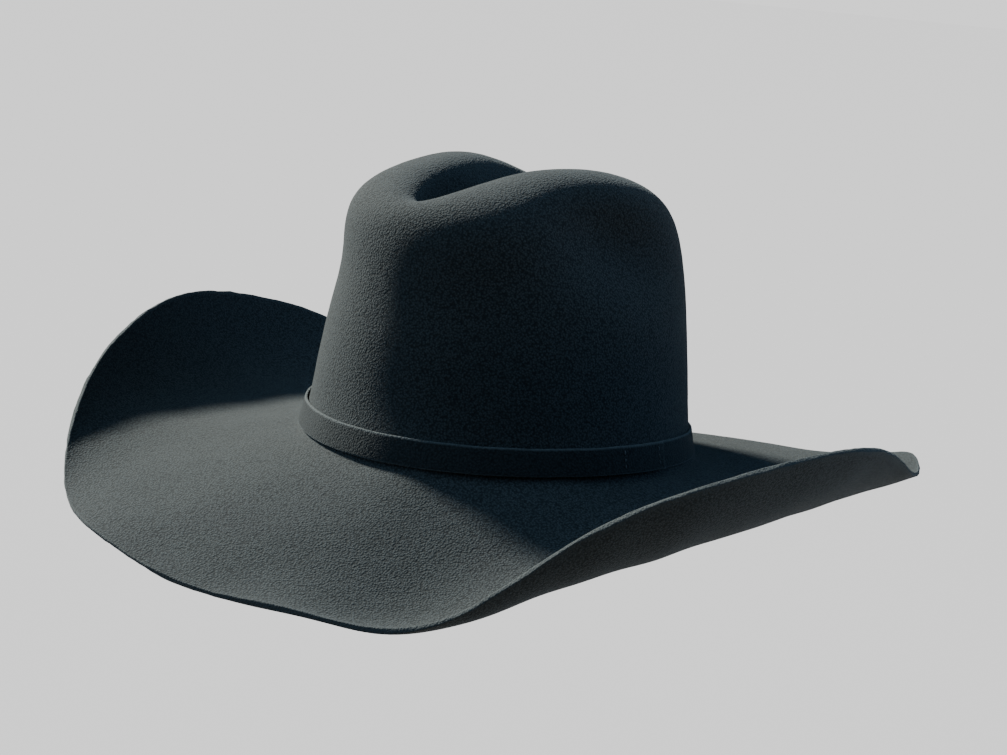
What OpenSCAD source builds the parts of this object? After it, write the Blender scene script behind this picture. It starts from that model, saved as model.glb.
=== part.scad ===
// Western felt hat. Crown and brim are blocked from one felt body. Round the crown lies a
// strap of the same felt, and inside are a leather sweatband on a reed and a satin liner.
// Millimetres. +Z is up, the front of the hat is -Y and the wearer's left is +X.
// The origin is the centre of the head opening, at the mean height of the brim break.
// The angle phi runs from the front (0) round the wearer's left (90) to the back (180).

/* [Head opening] */
// Half of the crown's width at the brim break
base_half_w = 88.6; // [84:0.2:94]
// Half of the crown's length at the brim break
base_half_l = 98; // [94:0.2:106]
// How far the break rises at the front and drops at the back
break_tilt = 4.7; // [0:0.1:6]
// How far the break rises at the sides and drops at front and back
break_wave = 1.6; // [0:0.1:4]

/* [Crown] */
// Height of the crown's rim over the break
crown_h = 126.1; // [110:0.1:130]
// Half of the width at mid height
mid_half_w = 79.2; // [72:0.2:82]
// Half of the length at mid height
mid_half_l = 92.9; // [88:0.2:98]
// Half of the width under the rim
shoulder_half_w = 69.6; // [66:0.2:76]
// Half of the length under the rim
shoulder_half_l = 89.7; // [84:0.1:94]
// Half of the distance between the two ridges
ridge_half_w = 30; // [28:0.1:35]
// Depth of the crease's upper step under the rim
crease_d = 17.2; // [12:0.1:20]
// Depth of the dent in each side of the crown
dent_d = 13; // [6:0.5:15]

/* [Felt] */
// Thickness of the felt
felt_t = 2.2; // [1.6:0.1:2.6]

/* [Hatband] */
// Thickness of the strap
band_t = 1.4; // [1:0.1:2]
// Angle that the strap's two ends overlap
band_lap = 20; // [12:1:30]
// Angle of the strap's outer end, past the front
band_end = 95; // [85:1:110]

/* [Sweatband] */
// Thickness of the leather
sweat_t = 0.9; // [0.7:0.1:1.1]
// Diameter of the reed in the sweatband's lower edge
reed_d = 1.6; // [1.2:0.1:1.8]
// Number of stitches that hold the sweatband
stitch_count = 72; // [48:4:96]

/* [Liner] */
// Thickness of the satin
liner_t = 0.4; // [0.3:0.05:0.5]
// Thickness of the clear sheet under the tip
protector_t = 0.3; // [0.2:0.05:0.4]

/* [Hidden] */

// Rings that the crown is blocked over, from the break up over the ridges into the crease:
// half width, half length, shift to the back, narrowing at the front, height, front tilt, side drop
CROWN = [
    [base_half_w, base_half_l, 0, 0, 0, break_tilt, -break_wave],
    [base_half_w - 1.9, base_half_l - 1.8, -0.3, 0, 8, break_tilt, -break_wave],
    [base_half_w - 4.8, base_half_l - 4.8, 0, 0, 22, 0.8 * break_tilt, -0.8 * break_wave],
    [mid_half_w, mid_half_l, 2.6, -1.4, 55, 0.4 * break_tilt, -0.4 * break_wave],
    [shoulder_half_w, shoulder_half_l, 3.6, 2, 85.9, -0.2, -6.4],
    [ridge_half_w + 37.4, 85.6, -0.3, -1.6, crown_h - 11.2, 3.2, -9.9],
    [ridge_half_w, 69.3, 0.4, 16, crown_h, 3.2, -9.9],
    [0.62 * ridge_half_w, 54.3, 0.4, 11.2, crown_h - crease_d, 3.2, -9.9],
    [0.34 * ridge_half_w, 45.3, 0.4, 8, crown_h - crease_d - 11, 3.2, -9.9],
    [2, 35.3, 0.4, 0, crown_h - crease_d - 14, 3.2, -9.9]
];
LAST_RING = len(CROWN) - 1;

// Brim edge, every 15 degrees from the front round the wearer's left: reach and height
BRIM_REACH = [192, 184, 179, 180, 185, 188, 190, 190, 194, 200, 202, 201,
    200, 199, 199, 198, 196, 193, 190, 189, 192, 196, 201, 199];
BRIM_HEIGHT = [-34, -35, -36, -7, 22, 34, 36, 23, 7, 4, -12, -26,
    -35, -36, -29, -12, 6, 27, 39, 41, 27, 5, -20, -27];
// Brim roll, every 22.5 degrees: where the bend lies between break and edge, and its height
ROLL_AT = [0.85, 0.81, 0.81, 0.71, 0.67, 0.61, 0.5, 0.46,
    0.4, 0.35, 0.44, 0.61, 0.76, 0.85, 0.89, 0.88];
ROLL_Z = [-33, -46, -52, -40, -28, -15, -3, 2, -8, -28, -34, -30, -25, -21, -19, -23];

// Dent in each side of the crown: centre angle, centre height, spans, and rise of its lower
// lip towards the front in millimetres per degree
dent_at = 82;
dent_z = 104;
dent_span = 27;
dent_tall = 22;
dent_rise = 0.35;

seg = 60;                       // sections round the hat
step = 360 / seg;
brim_rows = [1, 0.85, 0.68, 0.5, 0.32, 0.15];
crown_rows = [0.3, 1, 1.7, 2.4, 3, 3.5, 4, 4.4, 4.8, 5.2, 5.6, 6, 6.4, 6.9, 7.5, 8.2, LAST_RING];
corner_in = 0.03;               // share of the brim taken by the corner at the break
corner_up = 0.2;                // ring position where the corner ends on the crown

gap = 0.15;                     // clearance between the strap and the crown
band_low = 0.26;                // ring positions of the strap's edges
band_high = 1.42;
liner_out = -(felt_t + 0.2);    // offsets from the crown's outer face, inwards negative
liner_in = liner_out - liner_t;
sweat_out = liner_in - 0.5;
sweat_in = sweat_out - sweat_t;
sweat_mid = (sweat_out + sweat_in) / 2;
sweat_rows = [0.12, 0.8, 1.6, 2.2, 2.7];
liner_rows = [0.9, 1.5, 2, 2.5, 3, 3.5];
tip_row = 3.5;
tip_rise = 2;                   // how far the tip's middle stands over its rim
seam_half = 0.25;               // half of the angle left open at the sweatband's back seam
reed_drop = 0.6;                // height of the reed's centre under the break
thread_r = 0.22;

felt_color = [0.31, 0.34, 0.34];
leather_color = [0.36, 0.22, 0.13];
satin_color = [0.10, 0.12, 0.15];

// Sum of a list, and of a list of vectors
function total(v, i = 0) = i == len(v) - 1 ? v[i] : v[i] + total(v, i + 1);
function unit(v) = v / norm(v);

// Smooth value at phi between stations spread evenly all round
function kernel(x, n) = abs(sin(x / 2)) < 0.00001 ? 1 : sin(n * x / 2) / (n * tan(x / 2));
function around(v, phi) =
    let (n = len(v))
    total([for (j = [0 : n - 1]) v[j] * kernel(phi - j * 360 / n, n)]);

// Cubic spline through the crown's rings at ring position s
function ring(i) =
    i < 0 ? 2 * CROWN[0] - CROWN[1]
    : i > LAST_RING ? 2 * CROWN[LAST_RING] - CROWN[LAST_RING - 1]
    : CROWN[i];
function ring_at(s) =
    let (i = min(floor(s), LAST_RING - 1), t = s - i, u = 1 - t)
    (u * u * u * ring(i - 1) + (3 * t * t * t - 6 * t * t + 4) * ring(i)
        + (3 * u * u * u - 6 * u * u + 4) * ring(i + 1) + t * t * t * ring(i + 2)) / 6;

// Inward push of the side dents
function turned(phi) = abs(phi - 360 * round(phi / 360));
function dent(phi, z) =
    let (a = turned(phi) - dent_at, h = z - dent_z + dent_rise * a)
    dent_d * exp(-(a / dent_span) ^ 2 - (h / dent_tall) ^ 2);

// Crown's outer face at angle phi and ring position s, and its outward normal
function crown_pt(phi, s) =
    let (r = ring_at(s), z = r[4] + r[5] * cos(phi) + r[6] * cos(2 * phi),
        w = r[0] - r[3] * cos(phi))
    [(w - dent(phi, z) * min(1, w / 60)) * sin(phi), r[2] - r[1] * cos(phi), z];
function crown_normal(phi, s) =
    let (along = crown_pt(phi + 1, s) - crown_pt(phi - 1, s),
        up = crown_pt(phi, s + 0.05) - crown_pt(phi, max(0, s - 0.05)))
    unit(cross(along, up));
function wall(phi, s, d) = crown_pt(phi, s) + d * crown_normal(phi, s);

// Brim's upper face at angle phi and share t of the way from the break to the edge
function brim_pt(phi, t) =
    let (p0 = crown_pt(phi, 0), reach = around(BRIM_REACH, phi),
        p2 = [reach * sin(phi), -reach * cos(phi), around(BRIM_HEIGHT, phi)],
        flat = p0 + (p2 - p0) * around(ROLL_AT, phi),
        p1 = [flat[0], flat[1], p0[2] + around(ROLL_Z, phi)])
    (1 - t) * (1 - t) * p0 + 2 * t * (1 - t) * p1 + t * t * p2;

// Rounded corner between brim and crown, u from 0 on the brim to 1 on the crown
function corner_pt(phi, u) =
    (1 - u) * (1 - u) * brim_pt(phi, corner_in) + 2 * u * (1 - u) * crown_pt(phi, 0)
        + u * u * crown_pt(phi, corner_up);

// Rows of points over the felt's upper face, from the brim's edge to the crease's floor
felt_top = concat(
    [for (t = brim_rows) [for (j = [0 : seg - 1]) brim_pt(j * step, t)]],
    [for (u = [0, 0.5, 1]) [for (j = [0 : seg - 1]) corner_pt(j * step, u)]],
    [for (s = crown_rows) [for (j = [0 : seg - 1]) crown_pt(j * step, s)]]);

// The same rows set back by the felt's thickness
function row_normal(i, j) =
    let (rows = felt_top, last = len(rows) - 1,
        along = rows[i][(j + 1) % seg] - rows[i][(j + seg - 1) % seg],
        up = rows[min(i + 1, last)][j] - rows[max(i - 1, 0)][j])
    unit(cross(along, up));
felt_under = [for (i = [0 : len(felt_top) - 1]) [for (j = [0 : seg - 1])
    felt_top[i][j] - felt_t * row_normal(i, j)]];

// Solid swept round the hat: each section is a closed loop of points, and the sections join in
// a ring when closed, or end in flat caps
module swept(sections, closed = true) {
    n = len(sections);
    m = len(sections[0]);
    spans = closed ? n : n - 1;
    sides = [for (i = [0 : spans - 1], k = [0 : m - 1])
        let (a = i * m, b = ((i + 1) % n) * m, k2 = (k + 1) % m)
        each [[a + k, b + k2, b + k], [a + k, a + k2, b + k2]]];
    // A cap is a ladder: rung k joins the loop's k-th point to its k-th from the end
    top = (n - 1) * m;
    caps = closed ? [] : [for (k = [0 : m / 2 - 2])
        let (a = k, b = k + 1, c = m - 2 - k, d = m - 1 - k)
        each [[a, c, b], [a, d, c], [top + a, top + b, top + c], [top + a, top + c, top + d]]];
    polyhedron(points = [for (s = sections) each s], faces = concat(sides, caps), convexity = 8);
}

// Band that follows the crown's wall between two angles, from a loop of [ring position, offset]
module wall_band(loop, from = 0, to = 360, n = seg) {
    closed = to - from >= 360;
    sections = [for (i = [0 : closed ? n - 1 : n])
        [for (p = loop) wall(from + (to - from) * i / n, p[0], p[1])]];
    swept(sections, closed);
}

// Loop for a sheet on the wall: up its outer face, down its inner face
function sheet_loop(rows, outer, inner) = concat(
    [for (s = rows) [s, outer]],
    [for (i = [len(rows) - 1 : -1 : 0]) [rows[i], inner]]);

// Short thread between two points
module thread(a, b) {
    v = b - a;
    translate(a)
        rotate([0, acos(v[2] / norm(v)), atan2(v[1], v[0])])
            cylinder(h = norm(v), r = thread_r, $fn = 16);
}

// Crown and brim in one felt body
module felt_body() {
    sections = [for (j = [0 : seg - 1]) concat(
        [for (i = [0 : len(felt_top) - 1]) felt_top[i][j]],
        [for (i = [len(felt_top) - 1 : -1 : 0]) felt_under[i][j]])];
    n = len(felt_top);
    m = 2 * n;
    function at(row, j) = ((j + seg) % seg) * m + row;
    // Faces of one row span are left out where the crease's floor closes the body
    skin = [for (j = [0 : seg - 1], k = [0 : m - 1])
        if (k != n - 1)
            let (k2 = (k + 1) % m)
            each [[at(k, j), at(k2, j + 1), at(k, j + 1)], [at(k, j), at(k2, j), at(k2, j + 1)]]];
    floor_top = [for (j = [0 : seg / 2 - 1])
        each [[at(n - 1, j), at(n - 1, -j), at(n - 1, j + 1)],
            [at(n - 1, j + 1), at(n - 1, -j), at(n - 1, -j - 1)]]];
    floor_under = [for (j = [0 : seg / 2 - 1])
        each [[at(n, j), at(n, j + 1), at(n, -j)], [at(n, j + 1), at(n, -j - 1), at(n, -j)]]];
    whole = [for (f = concat(skin, floor_top, floor_under))
        if (f[0] != f[1] && f[1] != f[2] && f[0] != f[2]) f];
    color(felt_color)
        polyhedron(points = [for (s = sections) each s], faces = whole, convexity = 10);
}

// Strap of the same felt round the foot of the crown; its outer end laps over the inner end
module hatband() {
    lift = band_t + gap;
    from = band_end - band_lap;
    run = 360 + band_lap;
    ramp = 16;
    n = 66;
    sections = [for (i = [0 : n])
        let (a = run * i / n, r = min(1, max(0, (a - (360 - ramp)) / ramp)),
            d = gap + lift * r * r * (3 - 2 * r))
        [for (p = [[band_low, d + band_t], [band_high, d + band_t], [band_high, d], [band_low, d]])
            wall(from + a, p[0], p[1])]];
    color(felt_color * 0.95)
        swept(sections, false);
}

// Tacks that hold the lap, in two upright rows on the strap's outer layer
module hatband_tacks() {
    face = 2 * (band_t + gap) + thread_r + 0.05;
    color([0.12, 0.13, 0.14])
        for (phi = [band_end - 2.5, band_end - band_lap + 4], s = [0.55, 0.84, 1.13])
            thread(wall(phi, s, face), wall(phi, s + 0.16, face));
}

// Leather band that touches the wearer's head, open at the back seam
module sweatband() {
    color(leather_color)
        wall_band(sheet_loop(sweat_rows, sweat_out, sweat_in), 180 + seam_half, 540 - seam_half);
}

// Woven tape behind the sweatband's back seam
module sweatband_seam_tape() {
    color([0.16, 0.15, 0.14])
        wall_band(sheet_loop([0.95, 1.5, 2, 2.5], liner_in - 0.1, liner_in - 0.4), 176, 184, 4);
}

// Bars of thread across the back seam
module sweatband_seam_stitches() {
    face = sweat_in - thread_r - 0.05;
    color([0.20, 0.13, 0.08])
        for (s = [0.4 : 0.15 : 2.5])
            thread(wall(179, s, face), wall(181, s, face));
}

// Row of stitches round the sweatband's lower edge
module sweatband_stitches() {
    face = sweat_in - thread_r - 0.05;
    pitch = 360 / stitch_count;
    color([0.20, 0.13, 0.08])
        for (i = [0 : stitch_count - 1])
            thread(wall((i + 0.2) * pitch, 0.3, face), wall((i + 0.75) * pitch, 0.3, face));
}

// Flat ribbon bow at the foot of the back seam
module sweatband_bow() {
    loop_l = 11;
    loop_h = 7;
    ribbon_t = 0.8;
    knot = 3.2;
    p = wall(180, 0.75, sweat_in - 2 * thread_r - 0.3);
    color(satin_color)
        translate(p)
            rotate([90, 0, 0])
                for (side = [-1, 1]) {
                    translate([side * (knot / 2 + 0.2 + loop_l / 2), 0, 0.2])
                        linear_extrude(ribbon_t)
                            polygon([[-loop_l / 2, -1.2], [loop_l / 2, -loop_h / 2],
                                [loop_l / 2, loop_h / 2], [-loop_l / 2, 1.2]]);
                }
    color(satin_color)
        translate(p)
            rotate([90, 0, 0])
                translate([-knot / 2, -knot / 2, 0])
                    cube([knot, knot, 1.6]);
}

// Round cord path of the reed, one section at each angle, from a loop of [radius, turn]
function reed_sections(loop) = [for (j = [0 : seg - 1])
    let (phi = j * step, base = crown_pt(phi, 0), n = crown_normal(phi, 0),
        out = unit([n[0], n[1], 0]), c = base + sweat_mid * out - [0, 0, reed_drop])
    [for (p = loop) c + p[0] * (cos(p[1]) * out + sin(p[1]) * [0, 0, 1])]];

// Plastic reed that keeps the sweatband's edge in shape
module reed() {
    color([0.75, 0.73, 0.68])
        swept(reed_sections([for (a = [0 : 45 : 315]) [reed_d / 2, -a]]));
}

// Tape folded round the reed, open at the top where the leather enters
module reed_tape() {
    inner_r = reed_d / 2 + 0.15;
    outer_r = inner_r + 0.3;
    loop = concat(
        [for (a = [120 : 40 : 420]) [outer_r, -a + 180]],
        [for (a = [420 : -40 : 120]) [inner_r, -a + 180]]);
    color([0.16, 0.15, 0.14])
        swept(reed_sections(loop));
}

// Satin wall of the liner, with its lower edge behind the sweatband
module liner_side() {
    color(satin_color)
        wall_band(sheet_loop(liner_rows, liner_out, liner_in));
}

// Oval panel over the cavity: a rim of wall points, shrunk towards its middle, and a raised centre
module tip_panel(shrink, drop, thick) {
    rim = [for (j = [0 : seg - 1]) wall(j * step, tip_row, liner_in - 0.3)];
    mid = total(rim) / seg;
    top = [for (p = rim) mid + shrink * (p - mid) - [0, 0, drop]];
    crest = mid + [0, 0, tip_rise - drop];
    down = [0, 0, thick];
    points = concat(top, [for (p = top) p - down], [crest, crest - down]);
    faces = [for (j = [0 : seg - 1])
        let (k = (j + 1) % seg)
        each [[j, 2 * seg, k], [seg + j, seg + k, 2 * seg + 1],
            [j, k, seg + k], [j, seg + k, seg + j]]];
    polyhedron(points = points, faces = faces, convexity = 4);
}

// Satin oval that closes the liner
module liner_tip() {
    color(satin_color * 1.2)
        tip_panel(1, 0, liner_t);
}

// Clear sheet sewn under the tip
module tip_protector() {
    color([0.80, 0.83, 0.86])
        tip_panel(0.72, liner_t + 0.5, protector_t);
}

// Plain woven size label on the sweatband's face
module size_label() {
    color([0.78, 0.76, 0.70])
        wall_band(sheet_loop([1.5, 1.8, 2.1], sweat_in - 0.1, sweat_in - 0.35), 196, 210, 6);
}

felt_body();
hatband();
hatband_tacks();
sweatband();
sweatband_seam_tape();
sweatband_seam_stitches();
sweatband_stitches();
sweatband_bow();
reed();
reed_tape();
liner_side();
liner_tip();
tip_protector();
size_label();
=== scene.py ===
"""Western felt hat: the visual pieces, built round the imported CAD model.

Front is -Y, the wearer's left is +X and +Z is up. Shapes are worked out in millimetres and
put into Blender in metres. The angle phi runs from the front round the wearer's left to the
back, and the ring position s runs up the crown from the brim break (0) into the crease (9).
"""

import math

import bpy
import numpy as np
from mathutils import Matrix, Vector


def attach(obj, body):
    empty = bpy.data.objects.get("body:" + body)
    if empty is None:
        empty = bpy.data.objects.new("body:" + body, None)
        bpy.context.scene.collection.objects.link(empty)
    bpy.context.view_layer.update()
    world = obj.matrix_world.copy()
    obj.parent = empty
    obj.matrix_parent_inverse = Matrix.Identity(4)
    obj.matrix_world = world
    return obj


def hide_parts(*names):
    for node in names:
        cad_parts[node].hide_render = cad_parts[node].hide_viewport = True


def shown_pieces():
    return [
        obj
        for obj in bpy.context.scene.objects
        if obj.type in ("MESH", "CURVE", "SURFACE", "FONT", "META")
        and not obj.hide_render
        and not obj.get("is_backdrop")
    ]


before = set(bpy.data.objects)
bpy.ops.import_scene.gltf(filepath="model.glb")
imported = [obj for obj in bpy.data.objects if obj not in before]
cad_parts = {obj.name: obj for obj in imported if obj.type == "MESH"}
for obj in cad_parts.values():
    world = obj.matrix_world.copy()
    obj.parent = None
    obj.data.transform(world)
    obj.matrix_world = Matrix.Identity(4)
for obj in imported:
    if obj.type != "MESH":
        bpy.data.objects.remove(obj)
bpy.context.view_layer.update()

MM = 0.001
TURN = 2 * math.pi
UP = np.array([0, 0, 1.0])

# ---------------------------------------------------------------- shape of the blocked felt

# Rings of the crown: half width, half length, shift to the back, narrowing at the front,
# height, front tilt, side drop
CROWN = np.array([
    [88.6, 98.0, 0.0, 0.0, 0.0, 4.7, -1.6],
    [86.7, 96.2, -0.3, 0.0, 8.0, 4.7, -1.6],
    [83.8, 93.2, 0.0, 0.0, 22.0, 3.8, -1.3],
    [79.2, 92.9, 2.6, -1.4, 55.0, 1.9, -0.6],
    [69.6, 89.7, 3.6, 2.0, 85.9, -0.2, -6.4],
    [67.4, 85.6, -0.3, -1.6, 114.9, 3.2, -9.9],
    [30.0, 69.3, 0.4, 16.0, 126.1, 3.2, -9.9],
    [18.6, 54.3, 0.4, 11.2, 108.9, 3.2, -9.9],
    [10.2, 45.3, 0.4, 8.0, 97.9, 3.2, -9.9],
    [2.0, 35.3, 0.4, 0.0, 94.9, 3.2, -9.9],
])
LAST_RING = len(CROWN) - 1

# Brim edge, every 15 degrees from the front round the wearer's left: reach and height
BRIM_REACH = np.array([192, 184, 179, 180, 185, 188, 190, 190, 194, 200, 202, 201,
                       200, 199, 199, 198, 196, 193, 190, 189, 192, 196, 201, 199])
BRIM_HEIGHT = np.array([-34, -35, -36, -7, 22, 34, 36, 23, 7, 4, -12, -26,
                        -35, -36, -29, -12, 6, 27, 39, 41, 27, 5, -20, -27])
# Brim roll, every 22.5 degrees: where the bend lies between break and edge, and its height
ROLL_AT = np.array([0.85, 0.81, 0.81, 0.71, 0.67, 0.61, 0.5, 0.46,
                    0.4, 0.35, 0.44, 0.61, 0.76, 0.85, 0.89, 0.88])
ROLL_Z = np.array([-33, -46, -52, -40, -28, -15, -3, 2, -8, -28, -34, -30, -25, -21, -19, -23])

DENT_DEPTH = 13
DENT_AT = math.radians(82)
DENT_SPAN = math.radians(27)
DENT_Z = 104
DENT_TALL = 22
DENT_RISE = 0.35 * 180 / math.pi
DENT_FADE_W = 60        # half width of the ring under which the dents fade out

# Extra felt where the crown's rim is fuller, at the front on the wearer's right
FULLER = 2.6
FULLER_AT = np.array([-43.0, -59.0, 114.0])
FULLER_SPAN = 25.0

FELT = 2.2              # thickness of the felt
CORNER_IN = 0.03        # share of the brim taken by the corner at the break
CORNER_UP = 0.2         # ring position where the corner ends on the crown

# Offsets from the crown's outer face, inwards negative
GAP = 0.15
BAND = 1.4
LINER_OUT = -(FELT + 0.2)
LINER_IN = LINER_OUT - 0.4
SWEAT_OUT = LINER_IN - 0.5
SWEAT_IN = SWEAT_OUT - 0.9
THREAD = 0.22           # radius of the sewing thread

# Ring positions of the edges of what is fitted to the wall, and where things lie round it
BAND_LOW = 0.26
BAND_HIGH = 1.42
SWEAT_LOW = 0.12
SWEAT_HIGH = 2.7
SCORE_AT = 2.53         # scored line in the sweatband's leather
STITCH_ROW = 0.3        # row of stitches over the reed
TIP_ROW = 3.5           # seam between the liner's wall and its tip
BAND_END = math.radians(95)
BAND_LAP = math.radians(20)
SEAM_AT = math.pi       # the sweatband's seam, at the back

REED = 0.8              # radius of the reed
REED_DROP = 0.6         # how far the reed's centre lies under the brim break
REED_TAPE_IN = 0.97
REED_TAPE_OUT = 1.25
TIP_RISE = 2.0          # how far the liner's tip is raised in the middle

AROUND = 360            # sections round the hat
TOP_ROWS = (72, 6, 130)     # rows of the upper face on the brim, the corner and the crown
UNDER_ROWS = (40, 4, 44)    # the same on the under face
CUT_BULGE = 0.38        # how far the cut edge of the brim bulges

NORMAL_PHI = 0.01       # steps between the points that a wall's normal is taken from
NORMAL_S = 0.03


def smooth(x):
    """Eased step from 0 to 1."""
    x = np.clip(x, 0, 1)
    return x * x * (3 - 2 * x)


def unit(v):
    """Vectors at length 1."""
    return v / np.linalg.norm(v, axis=-1, keepdims=True)


def around(stations, phi):
    """Smooth periodic value at phi between stations spread evenly all round."""
    n = len(stations)
    x = np.asarray(phi)[..., None] - np.arange(n) * TURN / n
    flat = np.abs(np.sin(x / 2)) < 1e-9
    kernel = np.where(flat, 1.0, np.sin(n * x / 2) / (n * np.tan(np.where(flat, 1.0, x / 2))))
    return kernel @ stations


def ring_at(s):
    """Crown ring by cubic spline at ring position s."""
    rings = np.vstack([2 * CROWN[0] - CROWN[1], CROWN, 2 * CROWN[-1] - CROWN[-2]])
    s = np.asarray(s, float)
    i = np.clip(np.floor(s).astype(int), 0, LAST_RING - 1)
    t = (s - i)[..., None]
    u = 1 - t
    return (u**3 * rings[i] + (3 * t**3 - 6 * t**2 + 4) * rings[i + 1]
            + (3 * u**3 - 6 * u**2 + 4) * rings[i + 2] + t**3 * rings[i + 3]) / 6


def dent(phi, z):
    """Inward push of the dents in the crown's sides."""
    turned = np.abs((phi + math.pi) % TURN - math.pi)
    a = turned - DENT_AT
    h = z - DENT_Z + DENT_RISE * a
    return DENT_DEPTH * np.exp(-(a / DENT_SPAN)**2 - (h / DENT_TALL)**2)


def crown(phi, s):
    """Crown's outer face."""
    phi, s = np.broadcast_arrays(phi, s)
    w, l, back, pinch, height, tilt, drop = np.moveaxis(ring_at(s), -1, 0)
    z = height + tilt * np.cos(phi) + drop * np.cos(2 * phi)
    w = w - pinch * np.cos(phi)
    w = w - dent(phi, z) * np.minimum(1, w / DENT_FADE_W)
    return np.stack([w * np.sin(phi), back - l * np.cos(phi), z], -1)


def crown_normal(phi, s):
    """Outward normal of the crown's outer face."""
    s = np.asarray(s)
    along = crown(phi + NORMAL_PHI, s) - crown(phi - NORMAL_PHI, s)
    upward = crown(phi, s + NORMAL_S) - crown(phi, np.maximum(0, s - NORMAL_S))
    return unit(np.cross(along, upward))


def wall(phi, s, d):
    """Point at offset d from the crown's outer face."""
    phi, s, d = np.broadcast_arrays(phi, s, d)
    return crown(phi, s) + d[..., None] * crown_normal(phi, s)


def brim(phi, t):
    """Brim's upper face at share t of the way from the break to the edge."""
    phi, t = np.broadcast_arrays(phi, t)
    p0 = crown(phi, 0)
    reach = around(BRIM_REACH, phi)
    p2 = np.stack([reach * np.sin(phi), -reach * np.cos(phi), around(BRIM_HEIGHT, phi)], -1)
    p1 = p0 + (p2 - p0) * around(ROLL_AT, phi)[..., None]
    p1[..., 2] = p0[..., 2] + around(ROLL_Z, phi)
    t = t[..., None]
    return (1 - t)**2 * p0 + 2 * t * (1 - t) * p1 + t**2 * p2


def corner(phi, u):
    """Rounded corner between brim and crown, u from 0 on the brim to 1 on the crown."""
    phi, u = np.broadcast_arrays(phi, u)
    u = u[..., None]
    return ((1 - u)**2 * brim(phi, CORNER_IN) + 2 * u * (1 - u) * crown(phi, 0)
            + u**2 * crown(phi, CORNER_UP))


def ripple(points, wavelength, seed):
    """Smooth random field of about unit size, made of waves in seeded directions."""
    waves = 24
    rng = np.random.default_rng(seed)
    k = unit(rng.normal(size=(waves, 3))) * rng.uniform(0.7, 1.4, (waves, 1)) * TURN / wavelength
    phase = rng.uniform(0, TURN, waves)
    return np.sin(points @ k.T + phase).sum(-1) / math.sqrt(waves / 2)


# ---------------------------------------------------------------- mesh helpers


def make_mesh(name, points, faces, material, uv=None, marks=None):
    """Object from points in millimetres. uv holds a flat position in metres for each point,
    and marks holds named values for each point that the material reads."""
    mesh = bpy.data.meshes.new(name)
    mesh.from_pydata((np.asarray(points).reshape(-1, 3) * MM).tolist(), [], faces)
    mesh.polygons.foreach_set("use_smooth", [True] * len(mesh.polygons))
    if uv is not None:
        layer = mesh.uv_layers.new(name="flat")
        corners = np.zeros(len(mesh.loops), int)
        mesh.loops.foreach_get("vertex_index", corners)
        layer.data.foreach_set("uv", np.asarray(uv, np.float32).reshape(-1, 2)[corners].ravel())
    for key, values in (marks or {}).items():
        attribute = mesh.attributes.new(key, "FLOAT", "POINT")
        attribute.data.foreach_set("value", np.asarray(values, np.float32).ravel())
    mesh.materials.append(material)
    mesh.update()
    piece = bpy.data.objects.new(name, mesh)
    bpy.context.scene.collection.objects.link(piece)
    return piece


def grid_faces(rows, columns, wrap_rows=False, start=0, flip=False):
    """Quads over a grid of points stored row by row, whose columns close into a ring."""
    faces = []
    for i in range(rows if wrap_rows else rows - 1):
        a, b = start + i * columns, start + ((i + 1) % rows) * columns
        for j in range(columns):
            k = (j + 1) % columns
            face = (a + j, a + k, b + k, b + j)
            faces.append(face[::-1] if flip else face)
    return faces


def flat_grid(rows, columns, length, girth):
    """Flat positions in metres of a strip's points, along its length and round its section."""
    along = np.linspace(0, length, rows)
    over = np.linspace(0, girth, columns)
    return np.stack(np.meshgrid(along, over, indexing="ij"), -1) * MM


def joined(parts):
    """Points and faces of several parts as one mesh."""
    points, faces, at = [], [], 0
    for p, f in parts:
        points.append(p)
        faces += [tuple(v + at for v in face) for face in f]
        at += len(p)
    return np.concatenate(points), faces


def fit(piece, node):
    """Puts a piece in place of a CAD node."""
    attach(piece, "root")
    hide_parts(node)
    return piece


def swept_strip(name, node, material, phi, loop, lengths, closed=False, cut=None):
    """Strip along the wall. phi holds the sections' angles, loop(phi) gives ring position and
    offset of the section's points, and lengths are the flat length and the loop's girth. cut
    marks the section's points that lie on a cut edge."""
    angle, s, d = np.broadcast_arrays(phi[:, None], *loop(phi[:, None]))
    n, m = s.shape
    faces = grid_faces(n, m, wrap_rows=closed, flip=True)
    if not closed:
        for base, order in ((0, 1), ((n - 1) * m, -1)):
            for k in range(m // 2 - 1):
                quad = (base + k, base + k + 1, base + m - 2 - k, base + m - 1 - k)
                faces.append(quad[::order])
    marks = None if cut is None else {"cut": np.broadcast_to(cut, s.shape)}
    piece = make_mesh(name, wall(angle, s, d), faces, material, flat_grid(n, m, *lengths), marks)
    return fit(piece, node)


def thread_tube(path, sides):
    """Points and faces of a length of thread along a path, drawn in at both ends."""
    n = len(path)
    t = unit(np.gradient(path, axis=0))
    side = unit(np.cross(t, np.where(np.abs(t[:, 2:]) < 0.9, UP, [[1.0, 0, 0]])))
    other = np.cross(t, side)
    x = np.linspace(-1, 1, n)
    r = THREAD * np.sqrt(np.clip(1.02 - x**6, 0, 1))
    a = np.arange(sides) * TURN / sides
    ring = np.cos(a)[None, :, None] * side[:, None] + np.sin(a)[None, :, None] * other[:, None]
    points = (path[:, None] + ring * r[:, None, None]).reshape(-1, 3)
    faces = grid_faces(n, sides)
    faces += [tuple(range(sides))[::-1], tuple(range((n - 1) * sides, n * sides))]
    return points, faces


def stitches(name, node, material, tubes):
    """One piece from several lengths of thread."""
    return fit(make_mesh(name, *joined(tubes), material), node)


# ---------------------------------------------------------------- materials


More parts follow.
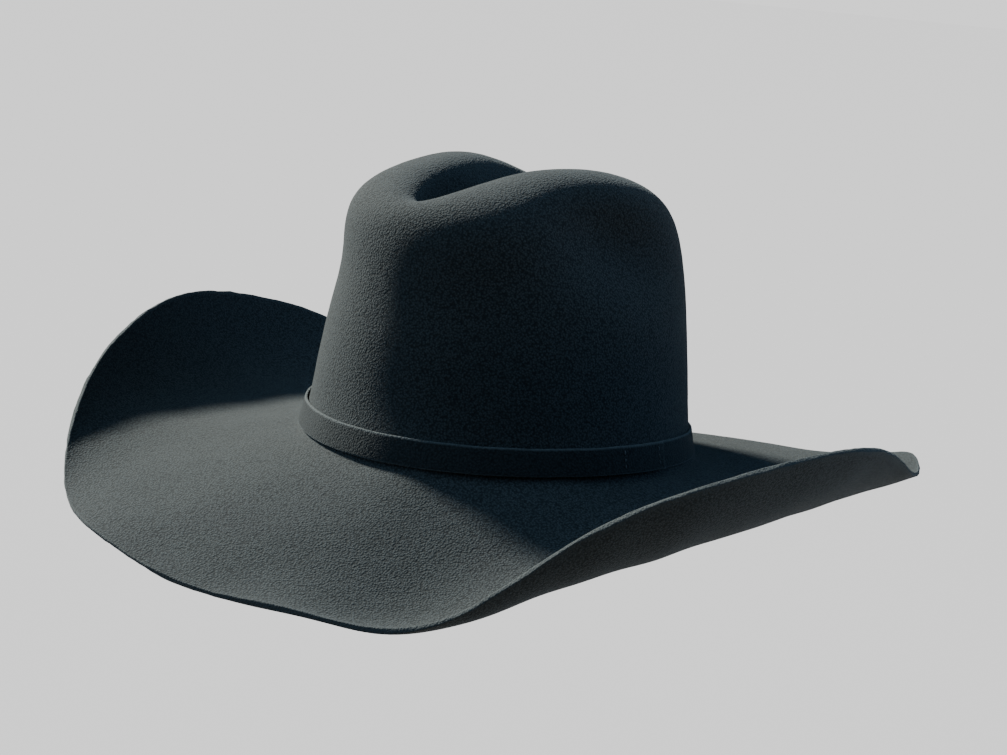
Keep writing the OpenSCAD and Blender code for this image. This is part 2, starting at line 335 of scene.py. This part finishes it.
class Paint:
    """Short names for building one material's nodes."""

    def __init__(self, name):
        self.material = bpy.data.materials.new(name)
        self.material.use_nodes = True
        self.tree = self.material.node_tree
        self.shader = self.tree.nodes["Principled BSDF"]
        self.place = self.node("TexCoord").outputs["Object"]

    def node(self, kind, settings=None, **inputs):
        """New shader node. An input's name has _ for a space."""
        made = self.tree.nodes.new("ShaderNode" + kind)
        for key, value in (settings or {}).items():
            setattr(made, key, value)
        for key, value in inputs.items():
            self.feed(made.inputs[key.replace("_", " ")], value)
        return made

    def feed(self, socket, value):
        """Links or sets a socket."""
        if isinstance(value, bpy.types.NodeSocket):
            self.tree.links.new(value, socket)
        else:
            socket.default_value = value

    def noise(self, scale, detail=2.0, roughness=0.5, vector=None):
        made = self.node("TexNoise", Vector=vector or self.place, Scale=scale, Detail=detail,
                         Roughness=roughness)
        return made.outputs["Fac"]

    def cells(self, scale):
        return self.node("TexVoronoi", Vector=self.place, Scale=scale).outputs["Distance"]

    def math(self, operation, *values):
        made = self.node("Math", {"operation": operation})
        for socket, value in zip(made.inputs, values):
            self.feed(socket, value)
        return made.outputs[0]

    def span(self, value, low, high, to_low=0.0, to_high=1.0):
        """Value carried from the range low to high over to another range, and clamped."""
        return self.node("MapRange", Value=value, From_Min=low, From_Max=high, To_Min=to_low,
                         To_Max=to_high).outputs["Result"]

    def blend(self, factor, a, b):
        return self.node("Mix", {"data_type": "RGBA"}, Factor=factor, A=a, B=b).outputs["Result"]

    def mark(self, name):
        """Value that make_mesh stored under this name."""
        return self.node("Attribute", {"attribute_name": name}).outputs["Fac"]

    def flat(self, scale_u, scale_v):
        """Position on the flat cloth, in metres, stretched by the two scales."""
        uv = self.node("UVMap", {"uv_map": "flat"}).outputs["UV"]
        return self.node("Mapping", Vector=uv, Scale=(scale_u, scale_v, 1.0)).outputs["Vector"]

    def bump(self, height, distance, strength=1.0, under=None):
        made = self.node("Bump", Height=height, Distance=distance, Strength=strength)
        if under is not None:
            self.feed(made.inputs["Normal"], under)
        return made.outputs["Normal"]

    def set(self, **values):
        """Feeds the shader and returns the finished material."""
        for key, value in values.items():
            self.feed(self.shader.inputs[key.replace("_", " ")], value)
        return self.material


def rgb(r, g, b):
    return (r, g, b, 1.0)


def felt_material(name, dark, light, edge_highlight_colour):
    """Fur felt: pebbled nap, soft blotches, and a lighter tone on cut edges that is a painted
    highlight along them.
    """
    p = Paint(name)
    grain = p.noise(1200.0, detail=3.0, roughness=0.6)
    pebble = p.cells(1080.0)
    blotch = p.noise(38.0, detail=4.0, roughness=0.6)
    height = p.math("SUBTRACT", p.math("MULTIPLY", grain, 0.5), p.math("MULTIPLY", pebble, 0.7))
    tone = p.span(height, -0.26, 0.16)
    tone = p.math("ADD", p.math("MULTIPLY", tone, 0.8), p.math("MULTIPLY", blotch, 0.2))
    colour = p.blend(tone, dark, light)
    # Cut edges are painted lighter: a painted highlight along the brim's edge and the band's edges
    colour = p.blend(p.math("MULTIPLY", p.mark("cut"), 0.85), colour, edge_highlight_colour)
    fine = p.bump(p.noise(2600.0, detail=2.0), 0.00012, 0.5)
    coarse = p.bump(height, 0.0005, 0.9, under=fine)
    soft = p.bump(p.noise(90.0, detail=2.0), 0.0012, 0.06, under=coarse)
    rough = p.span(grain, 0.3, 0.7, 0.86, 1.0)
    return p.set(Base_Color=colour, Roughness=rough, Normal=soft, Specular_IOR_Level=0.18,
                 Sheen_Weight=0.06, Sheen_Roughness=0.4, Sheen_Tint=rgb(0.85, 0.95, 1.0))


def leather_material():
    """Roan leather: fine cell grain, pores and a soft shine."""
    p = Paint("sweatband_leather")
    cells = p.cells(900.0)
    creases = p.noise(160.0, detail=5.0, roughness=0.6)
    tone = p.math("ADD", p.math("MULTIPLY", cells, 0.5), p.math("MULTIPLY", creases, 0.6))
    colour = p.blend(p.span(tone, 0.2, 0.75), rgb(0.085, 0.040, 0.018), rgb(0.235, 0.122, 0.058))
    worn = p.noise(22.0, detail=3.0)
    colour = p.blend(p.span(worn, 0.45, 0.75, 0.0, 0.35), colour, rgb(0.30, 0.175, 0.095))
    normal = p.bump(creases, 0.0004, 0.25, under=p.bump(cells, 0.0002, 0.5))
    return p.set(Base_Color=colour, Roughness=p.span(creases, 0.3, 0.7, 0.36, 0.58),
                 Normal=normal, Specular_IOR_Level=0.5)


def satin_material(name, dark, light):
    """Satin: fine warp floats seen as thin lines, with a directional sheen."""
    p = Paint(name)
    line = p.noise(2600.0, detail=1.0, vector=p.flat(1.0, 0.08))
    slub = p.noise(140.0, detail=2.0, vector=p.flat(1.0, 0.2))
    colour = p.blend(p.span(line, 0.35, 0.65), dark, light)
    normal = p.bump(slub, 0.0003, 0.15, under=p.bump(line, 0.00006, 0.35))
    return p.set(Base_Color=colour, Roughness=p.span(slub, 0.3, 0.7, 0.26, 0.40), Normal=normal,
                 Specular_IOR_Level=0.55, Anisotropic=0.55, Sheen_Weight=0.25,
                 Sheen_Roughness=0.3, Sheen_Tint=rgb(0.75, 0.82, 1.0))


def woven_material(name, dark, light, pitch):
    """Plain weave of threads at a pitch in metres."""
    p = Paint(name)
    grid = p.flat(1.0 / pitch, 1.0 / pitch)
    part = p.node("SeparateXYZ", Vector=grid)
    waves = [p.math("SINE", p.math("MULTIPLY", part.outputs[axis], TURN)) for axis in "XY"]
    weave = p.math("MULTIPLY", waves[0], waves[1])
    fluff = p.noise(1500.0, detail=3.0)
    tone = p.math("ADD", p.span(weave, -1.0, 1.0, 0.0, 0.6), p.math("MULTIPLY", fluff, 0.4))
    normal = p.bump(weave, 0.00012, 0.7, under=p.bump(fluff, 0.0001, 0.5))
    return p.set(Base_Color=p.blend(tone, dark, light), Normal=normal,
                 Roughness=p.span(fluff, 0.3, 0.7, 0.75, 0.95), Sheen_Weight=0.2)


def thread_material(name, dark, light):
    """Twisted sewing thread."""
    p = Paint(name)
    twist = p.node("TexWave", {"bands_direction": "DIAGONAL"}, Vector=p.place, Scale=1300.0,
                   Distortion=2.0).outputs["Fac"]
    normal = p.bump(twist, 0.00008, 0.8)
    return p.set(Base_Color=p.blend(twist, dark, light), Normal=normal,
                 Roughness=p.span(twist, 0.0, 1.0, 0.7, 0.5), Sheen_Weight=0.2)


def plastic_material():
    """Pale extruded reed, dull with faint drawing lines."""
    p = Paint("reed_plastic")
    lines = p.noise(700.0, detail=2.0)
    colour = p.blend(lines, rgb(0.50, 0.48, 0.42), rgb(0.66, 0.64, 0.58))
    return p.set(Base_Color=colour, Roughness=p.span(lines, 0.3, 0.7, 0.38, 0.55),
                 Normal=p.bump(lines, 0.00005, 0.4))


def clear_material():
    """Clear flexible sheet with a slight haze and waviness."""
    p = Paint("clear_sheet")
    wave = p.noise(45.0, detail=2.0)
    scuff = p.noise(420.0, detail=4.0, roughness=0.7)
    return p.set(Base_Color=rgb(0.92, 0.95, 0.97), Transmission_Weight=0.92, IOR=1.46,
                 Roughness=p.span(scuff, 0.4, 0.7, 0.05, 0.22),
                 Normal=p.bump(wave, 0.0008, 0.2))


# Each felt's last colour is the painted highlight for its cut edges
FELT_PAINT = felt_material("felt", rgb(0.0060, 0.0069, 0.0069), rgb(0.0410, 0.0446, 0.0440),
                           rgb(0.036, 0.039, 0.0385))
BAND_PAINT = felt_material("felt_band", rgb(0.0055, 0.0064, 0.0065), rgb(0.0215, 0.0240, 0.0240),
                           rgb(0.055, 0.059, 0.058))
LEATHER_PAINT = leather_material()
LINER_PAINT = satin_material("satin", rgb(0.020, 0.025, 0.038), rgb(0.052, 0.062, 0.088))
TIP_PAINT = satin_material("satin_tip", rgb(0.024, 0.030, 0.045), rgb(0.062, 0.074, 0.104))
RIBBON_PAINT = satin_material("bow_ribbon", rgb(0.010, 0.012, 0.018), rgb(0.030, 0.034, 0.046))
TAPE_PAINT = woven_material("woven_tape", rgb(0.020, 0.018, 0.016), rgb(0.075, 0.068, 0.060),
                            0.0007)
LABEL_PAINT = woven_material("label_weave", rgb(0.42, 0.39, 0.33), rgb(0.68, 0.65, 0.58), 0.0005)
DARK_THREAD_PAINT = thread_material("dark_thread", rgb(0.012, 0.013, 0.015),
                                    rgb(0.050, 0.054, 0.058))
BROWN_THREAD_PAINT = thread_material("brown_thread", rgb(0.055, 0.030, 0.014),
                                     rgb(0.20, 0.125, 0.065))
REED_PAINT = plastic_material()
CLEAR_PAINT = clear_material()

# ---------------------------------------------------------------- felt body


def felt_rows(top_count, corner_count, crown_count):
    """Functions of phi for the rows from the brim's edge to the crease's floor."""
    rows = [lambda phi, t=t: brim(phi, t) for t in np.linspace(1, CORNER_IN, top_count)]
    rows += [lambda phi, u=u: corner(phi, u) for u in np.linspace(0, 1, corner_count + 2)[1:-1]]
    rows += [lambda phi, s=s: crown(phi, s)
             for s in np.linspace(CORNER_UP, LAST_RING, crown_count)]
    return rows


def row_normals(points):
    """Outward normals of a face stored as rows of points."""
    along = np.roll(points, -1, 1) - np.roll(points, 1, 1)
    return unit(np.cross(along, np.gradient(points, axis=0)))


def felt_body():
    """Crown and brim: an outer and an inner face that meet in an unbound cut edge at the brim,
    whose rows the material paints lighter as a painted highlight.
    """
    phi = np.arange(AROUND) * TURN / AROUND
    top = np.array([row(phi) for row in felt_rows(*TOP_ROWS)])
    under = np.array([row(phi) for row in felt_rows(*UNDER_ROWS)])
    top_normal, under_normal = row_normals(top), row_normals(under)
    under = under - FELT * under_normal

    # The blocked felt is a little wavy
    sag = 0.14 * ripple(top, 46.0, 3) + 0.02 * ripple(top, 9.0, 4)
    fuller = FULLER * np.exp(-(((top - FULLER_AT) / FULLER_SPAN)**2).sum(-1))
    top = top + top_normal * (sag + fuller)[..., None]
    under = under + under_normal * (0.2 * ripple(under, 40.0, 5))[..., None]

    # The cut edge bulges a little between the two faces and is never quite even
    outward = unit(top[0] - top[1])
    shares = np.array([0.06, 0.2, 0.4, 0.6, 0.8, 0.94])
    bulge = CUT_BULGE * np.sqrt(np.clip(1 - (2 * shares - 1)**4, 0, 1))
    edge = np.array([top[0] * (1 - h) + under[0] * h + outward * b
                     for h, b in zip(shares, bulge)])
    edge += outward * (0.10 * ripple(edge, 3.2, 6) + 0.08 * ripple(edge, 17.0, 7))[..., None]

    rows = np.concatenate([under[::-1], edge[::-1], top])
    # Rows of the cut edge, which the material paints lighter as a painted highlight
    cut = np.zeros(rows.shape[:2])
    first = len(under)
    cut[first - 1:first + len(edge) + 1] = 1.0

    # Each face ends in a narrow ring at the crease's floor, closed here from side to side
    faces = grid_faces(len(rows), AROUND)
    last = (len(rows) - 1) * AROUND
    for j in range(AROUND // 2):
        ladder = list(dict.fromkeys((j, j + 1, (-j - 1) % AROUND, -j % AROUND)))
        faces += [tuple(last + v for v in ladder), tuple(ladder[::-1])]
    piece = make_mesh("felt_body_looks", rows, faces, FELT_PAINT, marks={"cut": cut})
    return fit(piece, "felt_body")


# ---------------------------------------------------------------- hatband


def hatband():
    """Felt strap with cut edges; its outer end laps over the inner end on the wearer's left."""
    turned = np.linspace(0, TURN + BAND_LAP, 420)
    phi = BAND_END - BAND_LAP + turned
    ramp = math.radians(16)
    lift = (BAND + GAP) * smooth((turned - (TURN - ramp)) / ramp)

    # Section: up the outer face, over the top edge and down the inner face, corners rounded
    mid, half = (BAND_LOW + BAND_HIGH) / 2, (BAND_HIGH - BAND_LOW) / 2
    rounding = 0.028
    outer_s = np.concatenate([[-1, -1], np.linspace(-0.9, 0.9, 9), [1, 1]]) * (half - rounding)
    outer_s[0] -= rounding
    outer_s[-1] += rounding
    outer_d = np.concatenate([[0.3, 0.06], np.zeros(9), [0.06, 0.3]])
    s = np.concatenate([mid + outer_s, mid + outer_s[::-1]])
    d = np.concatenate([BAND - outer_d, outer_d])
    # Points on the strap's cut edges, which the material paints lighter as a painted highlight
    cut = np.abs(s - mid) > half - 2.2 * rounding

    def loop(angle):
        wave = 0.10 * np.sin(7 * angle + 1.0) + 0.07 * np.sin(17 * angle)
        stand = GAP + lift[:, None] + 0.18 + wave
        edge = 0.006 * np.sin(5 * angle) + 0.004 * np.sin(23 * angle + 2.0)
        return s + edge, stand + d

    piece = swept_strip("hatband_looks", "hatband", BAND_PAINT, phi, loop,
                        (610.0, 28.0), cut=cut)
    return piece


def hatband_tacks():
    """Six upright stitches that hold the strap's lap."""
    face = 2 * (BAND + GAP) + THREAD + 0.25
    tubes = []
    for angle in (BAND_END - math.radians(2.5), BAND_END - BAND_LAP + math.radians(4)):
        for s in (0.55, 0.84, 1.13):
            steps = np.linspace(0, 1, 9)
            dip = 0.25 * (2 * steps - 1)**4
            tubes.append(thread_tube(wall(angle, s + 0.16 * steps, face - dip), 10))
    return stitches("hatband_tacks_looks", "hatband_tacks", DARK_THREAD_PAINT, tubes)


# ---------------------------------------------------------------- sweatband and its trim


def sheet_section(rows, outer, inner, edge):
    """Ring positions and offsets of a thin sheet's section: up the outer face, down the inner,
    with both edges rounded. edge is the rounding as a ring position."""
    rows = np.asarray(rows, float)
    middle = (outer + inner) / 2
    thin = (outer - inner) / 2
    low, high = rows[0], rows[-1]
    up_s = np.concatenate([[low, low + 0.3 * edge], rows[1:-1], [high - 0.3 * edge, high]])
    up_d = np.concatenate([[0.45 * thin, 0.9 * thin], np.full(len(rows) - 2, thin),
                           [0.9 * thin, 0.45 * thin]])
    s = np.concatenate([up_s, up_s[::-1]])
    d = np.concatenate([middle + up_d, middle - up_d[::-1]])
    return s, d


def sweatband():
    """Leather band with a scored line under its top edge, open at the back seam."""
    rows = np.concatenate([[SWEAT_LOW], np.linspace(0.2, 2.45, 26),
                           [2.5, SCORE_AT, 2.56, 2.6, 2.66, SWEAT_HIGH]])
    s, d = sheet_section(rows, SWEAT_OUT, SWEAT_IN, 0.03)
    inner = d < (SWEAT_OUT + SWEAT_IN) / 2
    score = 0.16 * np.exp(-((s - SCORE_AT) / 0.012)**2) * inner
    gap = math.radians(0.25)
    phi = np.linspace(SEAM_AT + gap, SEAM_AT + TURN - gap, AROUND + 1)

    def loop(angle):
        sway = 0.10 * np.sin(3 * angle + 0.6) * smooth(s - 1.2)
        return s, d + score + sway

    return swept_strip("sweatband_looks", "sweatband", LEATHER_PAINT, phi,
                       loop, (545.0, 100.0))


def sweatband_seam_tape():
    """Woven tape behind the back seam."""
    section = sheet_section(np.linspace(0.95, 2.5, 14), LINER_IN - 0.1, LINER_IN - 0.4, 0.02)
    phi = np.radians(np.linspace(176, 184, 17))
    piece = swept_strip("sweatband_seam_tape_looks", "sweatband_seam_tape",
                        TAPE_PAINT, phi, lambda angle: section, (12.0, 60.0))
    return piece


def sweatband_stitch(phi_a, s_a, phi_b, s_b):
    """One stitch that lies on the sweatband's face and dips into it at both ends."""
    t = np.linspace(0, 1, 9)
    dip = 0.12 * (2 * t - 1)**4
    path = wall(phi_a + (phi_b - phi_a) * t, s_a + (s_b - s_a) * t, SWEAT_IN - THREAD + dip)
    return thread_tube(path, 8)


def sweatband_seam_stitches():
    """Zigzag of thread that draws the back seam together."""
    tubes = []
    width = math.radians(1)
    for s in np.arange(0.4, 2.51, 0.15):
        tubes.append(sweatband_stitch(SEAM_AT - width, s, SEAM_AT + width, s + 0.02))
        if s < 2.4:
            tubes.append(sweatband_stitch(SEAM_AT + width, s + 0.03, SEAM_AT - width, s + 0.14))
    return stitches("sweatband_seam_stitches_looks", "sweatband_seam_stitches",
                    BROWN_THREAD_PAINT, tubes)


def sweatband_stitches():
    """Run of stitches just over the reed."""
    count = 72
    pitch = TURN / count
    tubes = [sweatband_stitch((i + 0.2) * pitch, STITCH_ROW, (i + 0.82) * pitch, STITCH_ROW)
             for i in range(count)]
    return stitches("sweatband_stitches_looks", "sweatband_stitches",
                    BROWN_THREAD_PAINT, tubes)


def ribbon(path, width, thick):
    """Points and faces of a thin ribbon along a path. Its width stands upright."""
    n = len(path)
    across = np.broadcast_to(width, n)[:, None] * UP
    out = unit(np.cross(unit(np.gradient(path, axis=0)), UP)) * thick / 2
    ring = np.stack([path + across / 2 + out, path - across / 2 + out, path - across / 2 - out,
                     path + across / 2 - out], 1)
    faces = grid_faces(n, 4)
    faces += [(3, 2, 1, 0), tuple(range(4 * n - 4, 4 * n))]
    return ring.reshape(-1, 3), faces


def sweatband_bow():
    """Flat ribbon bow: two loops, two tails and the knot that holds them."""
    ribbons = []
    loop = np.linspace(0, 1, 25)
    tail = np.linspace(0, 1, 13)
    for side in (-1, 1):
        out = 1.4 + 11.0 * np.sin(math.pi * loop)**0.8
        path = np.stack([side * out, -0.35 - 1.15 * loop, 0 * loop], 1)
        ribbons.append(ribbon(path, 2.6 + 4.2 * np.sin(math.pi * loop)**0.7, 0.22))
        path = np.stack([side * (1.2 + 6.5 * tail), -0.3 - 0.5 * np.sin(3 * tail),
                         -0.6 - 4.2 * tail**1.3], 1)
        ribbons.append(ribbon(path, 2.6 + 2.6 * tail, 0.22))
    a = np.linspace(0, TURN, 21)
    knot = np.stack([1.7 * np.cos(a), -0.95 + 0.95 * np.sin(a), 0 * a], 1)
    ribbons.append(ribbon(knot, 4.0, 0.3))
    points, faces = joined(ribbons)
    base = wall(SEAM_AT, 0.75, SWEAT_IN - 2 * THREAD - 0.3)
    piece = make_mesh("sweatband_bow_looks", points + base, faces, RIBBON_PAINT,
                      uv=points[:, [0, 2]] * MM)
    return fit(piece, "sweatband_bow")


def reed_line(phi):
    """Centre of the reed, and the level direction away from the head there."""
    base, n = crown(phi, 0), crown_normal(phi, 0)
    out = unit(n * np.array([1, 1, 0]))
    return base + (SWEAT_OUT + SWEAT_IN) / 2 * out - REED_DROP * UP, out


def round_reed(phi, a, radius):
    """Points at angle a and a radius from the reed's centre, a from outwards up."""
    centre, out = reed_line(phi)
    return centre[:, None] + radius[..., None] * (np.cos(a)[None, :, None] * out[:, None]
                                                  + np.sin(a)[None, :, None] * UP)


def reed():
    """Plastic reed in the sweatband's lower edge."""
    n, sides = 300, 12
    phi = np.arange(n) * TURN / n
    points = round_reed(phi, -np.arange(sides) * TURN / sides, np.full((n, sides), REED))
    faces = grid_faces(n, sides, wrap_rows=True, flip=True)
    return fit(make_mesh("reed_looks", points, faces, REED_PAINT), "reed")


def reed_tape():
    """Tape folded round the reed; its two edges stand up beside the leather."""
    n = 480
    phi = np.arange(n) * TURN / n
    a = np.radians(np.linspace(120, 420, 19))
    pucker = 0.05 * np.sin(144 * phi)[:, None]
    outer = REED_TAPE_OUT + pucker + 0 * a
    inner = np.full(outer.shape, REED_TAPE_IN)
    r = np.concatenate([outer, inner], 1)
    points = round_reed(phi, math.pi - np.concatenate([a, a[::-1]]), r)
    m = r.shape[1]
    faces = grid_faces(n, m, wrap_rows=True, flip=True)
    piece = make_mesh("reed_tape_looks", points, faces, TAPE_PAINT, flat_grid(n, m, 560, 13))
    return fit(piece, "reed_tape")


# ---------------------------------------------------------------- liner


def fold_depth(phi, s):
    """Inward depth of the satin wall's soft upright folds: flat behind the sweatband, deeper
    above it, and held again by the tip's seam."""
    folds = (np.sin(31 * phi + 1.3 * np.sin(4 * phi)) + 0.6 * np.sin(53 * phi + 2 * np.sin(3 * phi))
             + 0.4 * np.sin(11 * phi))
    free = smooth((s - 2.45) / 0.35) * (0.45 + 0.55 * smooth((TIP_ROW - s) / 0.5))
    return (0.06 + 0.42 * free) * (0.9 + folds / 2)


def liner_side():
    """Satin wall, gathered into soft folds."""
    s, d = sheet_section(np.linspace(0.9, TIP_ROW, 34), LINER_OUT - 0.12, LINER_IN, 0.03)
    n = 720
    phi = np.arange(n) * TURN / n
    piece = swept_strip("liner_side_looks", "liner_side", LINER_PAINT, phi,
                        lambda angle: (s, d - fold_depth(angle, s)), (545.0, 128.0), closed=True)
    return piece


def tip_panel(name, node, material, shrink, drop, thick, puckers):
    """Oval panel under the crown with a raised middle and small puckers along its rim."""
    n, rings = AROUND, 40
    phi = np.arange(n) * TURN / n
    rim = wall(phi, TIP_ROW, LINER_IN - 0.3)
    middle = rim.mean(0)
    share = np.linspace(0, 1, rings)[1:, None]
    flat = middle + shrink * share[..., None] * (rim - middle)[None]
    rise = TIP_RISE * (1 - share**2) - drop
    wave = puckers * np.sin(97 * phi + np.sin(5 * phi))[None, :] * smooth((share - 0.8) / 0.2)
    flat[..., 2] += rise + wave + 0.12 * puckers * ripple(flat, 24.0, 9)
    top = np.concatenate([[middle + [0, 0, TIP_RISE - drop]], flat.reshape(-1, 3)])
    points = np.concatenate([top, top - [0, 0, thick]])
    size = len(top)
    skin = [(0, 1 + j, 1 + (j + 1) % n) for j in range(n)]
    skin += grid_faces(rings - 1, n, start=1, flip=True)
    faces = skin + [tuple(size + v for v in face[::-1]) for face in skin]
    last = size - n
    for j in range(n):
        k = (j + 1) % n
        faces.append((last + k, last + j, size + last + j, size + last + k))
    piece = make_mesh(name, points, faces, material, uv=points[:, :2] * MM)
    return fit(piece, node)


def liner_tip():
    """Satin oval that closes the liner."""
    piece = tip_panel("liner_tip_looks", "liner_tip", TIP_PAINT, 1.0, 0.0, 0.4, 0.12)
    return piece


def tip_protector():
    """Clear sheet under the liner's tip."""
    return tip_panel("tip_protector_looks", "tip_protector", CLEAR_PAINT, 0.72,
                     0.9, 0.3, 0.06)


def size_label():
    """Blank woven label on the sweatband's face."""
    section = sheet_section(np.linspace(1.5, 2.1, 12), SWEAT_IN - 0.12, SWEAT_IN - 0.36, 0.02)
    phi = np.radians(np.linspace(196, 210, 33))
    piece = swept_strip("size_label_looks", "size_label", LABEL_PAINT, phi,
                        lambda angle: section, (22.0, 26.0))
    return piece


BODY = felt_body()
hatband()
hatband_tacks()
sweatband()
sweatband_seam_tape()
sweatband_seam_stitches()
sweatband_stitches()
sweatband_bow()
reed()
reed_tape()
liner_side()
liner_tip()
tip_protector()
size_label()

# ---------------------------------------------------------------- floor, light and camera

FLOOR_REACH = 30.0      # half width of the floor in metres
FLOOR_GAP = 0.0002      # how far the floor lies under the brim, in metres

# Lights on the hat: strength, size, colour, azimuth and elevation, with angles in degrees
SUNS = {
    "key": (13.9, 9.0, (0.98, 1.0, 0.92), -88.0, 36.0),
    "front_fill": (2.1, 60.0, (0.38, 0.67, 1.0), -30.0, 35.0),
    "back_fill": (1.75, 60.0, (0.31, 0.60, 1.0), 130.0, 25.0),
    "above": (0.45, 50.0, (0.50, 0.78, 1.0), 0.0, 90.0),
    "bounce": (0.85, 60.0, (0.97, 1.0, 0.87), 95.0, -35.0),
}
FLOOR_WASH = 4.9        # strength of the light on the floor
SURROUND = 1.25         # brightness of what the camera sees past the floor

# Camera: angles in degrees, distance from the frame's origin and rise in metres, lens in mm
CAMERA_AZIMUTH = 39.69
CAMERA_ELEVATION = 11.54
CAMERA_ROLL = 4.45
CAMERA_DISTANCE = 0.8918
CAMERA_RISE = 0.0286
CAMERA_LENS = 67.25


def resting_plane(points):
    """Height and slopes of the plane that the hat would rest on: it lies under every point and
    is as high as can be under the hat's middle."""
    def height(slopes):
        return (points[:, 2] - slopes[0] * points[:, 0] - slopes[1] * points[:, 1]).min()

    directions = [np.array(m) for m in ((1, 0), (-1, 0), (0, 1), (0, -1),
                                        (1, 1), (-1, -1), (1, -1), (-1, 1))]
    slopes, step = np.zeros(2), 0.05
    while step > 1e-5:
        best = max((slopes + step * m for m in directions), key=height)
        if height(best) > height(slopes):
            slopes = best
        else:
            step /= 2
    return height(slopes), slopes


def floor():
    """Large plain pale floor on the plane that the brim rests on."""
    co = np.zeros(len(BODY.data.vertices) * 3)
    BODY.data.vertices.foreach_get("co", co)
    z, (slope_x, slope_y) = resting_plane(co.reshape(-1, 3))
    corners = [(FLOOR_REACH * x, FLOOR_REACH * y) for x, y in ((-1, -1), (1, -1), (1, 1), (-1, 1))]
    mesh = bpy.data.meshes.new("floor")
    mesh.from_pydata([(x, y, z - FLOOR_GAP + slope_x * x + slope_y * y) for x, y in corners], [],
                     [(0, 1, 2, 3)])
    p = Paint("floor")
    mesh.materials.append(p.set(Base_Color=rgb(0.80, 0.80, 0.80), Roughness=0.9,
                                Specular_IOR_Level=0.1))
    plane = bpy.data.objects.new("floor", mesh)
    bpy.context.scene.collection.objects.link(plane)
    plane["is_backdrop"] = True
    return plane


def direction(azimuth, elevation):
    """Unit vector out to an azimuth and elevation in radians. Azimuth runs like phi."""
    return Vector((math.sin(azimuth) * math.cos(elevation),
                   -math.cos(azimuth) * math.cos(elevation), math.sin(elevation)))


def sun(name, lit, strength, size, colour, azimuth, elevation):
    """Distant light that reaches only the objects in lit, with angles in degrees."""
    data = bpy.data.lights.new(name, "SUN")
    data.energy = strength
    data.angle = math.radians(size)
    data.color = colour
    lamp = bpy.data.objects.new(name, data)
    bpy.context.scene.collection.objects.link(lamp)
    to_light = direction(math.radians(azimuth), math.radians(elevation))
    lamp.rotation_mode = "QUATERNION"
    lamp.rotation_quaternion = to_light.to_track_quat("Z", "Y")
    group = bpy.data.collections.new(name + "_lit")
    for o in lit:
        group.objects.link(o)
    lamp.light_linking.receiver_collection = group
    return data


def surround():
    """World that is pale to look at and lights nothing."""
    world = bpy.data.worlds.new("studio")
    bpy.context.scene.world = world
    world.use_nodes = True
    tree = world.node_tree
    seen = tree.nodes.new("ShaderNodeLightPath").outputs["Is Camera Ray"]
    mix = tree.nodes.new("ShaderNodeMix")
    mix.data_type = "RGBA"
    mix.inputs["A"].default_value = rgb(0.0, 0.0, 0.0)
    mix.inputs["B"].default_value = rgb(SURROUND, SURROUND, SURROUND)
    tree.links.new(seen, mix.inputs["Factor"])
    tree.links.new(mix.outputs["Result"], tree.nodes["Background"].inputs["Color"])


def light(ground):
    """One key from the wearer's right, three soft cool fills, a bounce from below, and an even
    wash on the floor."""
    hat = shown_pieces()
    for name, values in SUNS.items():
        sun(name, hat, *values)
    wash = sun("wash", [ground], FLOOR_WASH, 0.0, (1.0, 1.0, 1.0), 0.0, 90.0)
    wash.use_shadow = False
    ground.visible_diffuse = False
    ground.visible_shadow = False


def camera():
    """Three-quarter view from the wearer's front left, a little above the brim."""
    azimuth, elevation = math.radians(CAMERA_AZIMUTH), math.radians(CAMERA_ELEVATION)
    roll = math.radians(CAMERA_ROLL)
    back = direction(azimuth, elevation)
    right = Vector((math.cos(azimuth), math.sin(azimuth), 0.0))
    up = back.cross(right)
    tilted_right = right * math.cos(roll) + up * math.sin(roll)
    tilted_up = up * math.cos(roll) - right * math.sin(roll)
    data = bpy.data.cameras.new("camera")
    data.lens = CAMERA_LENS
    data.sensor_width = 36.0
    shot = bpy.data.objects.new("camera", data)
    bpy.context.scene.collection.objects.link(shot)
    turn = Matrix((tilted_right, tilted_up, back)).transposed().to_4x4()
    shot.matrix_world = Matrix.Translation(back * CAMERA_DISTANCE + up * CAMERA_RISE) @ turn
    bpy.context.scene.camera = shot


surround()
light(floor())
camera()
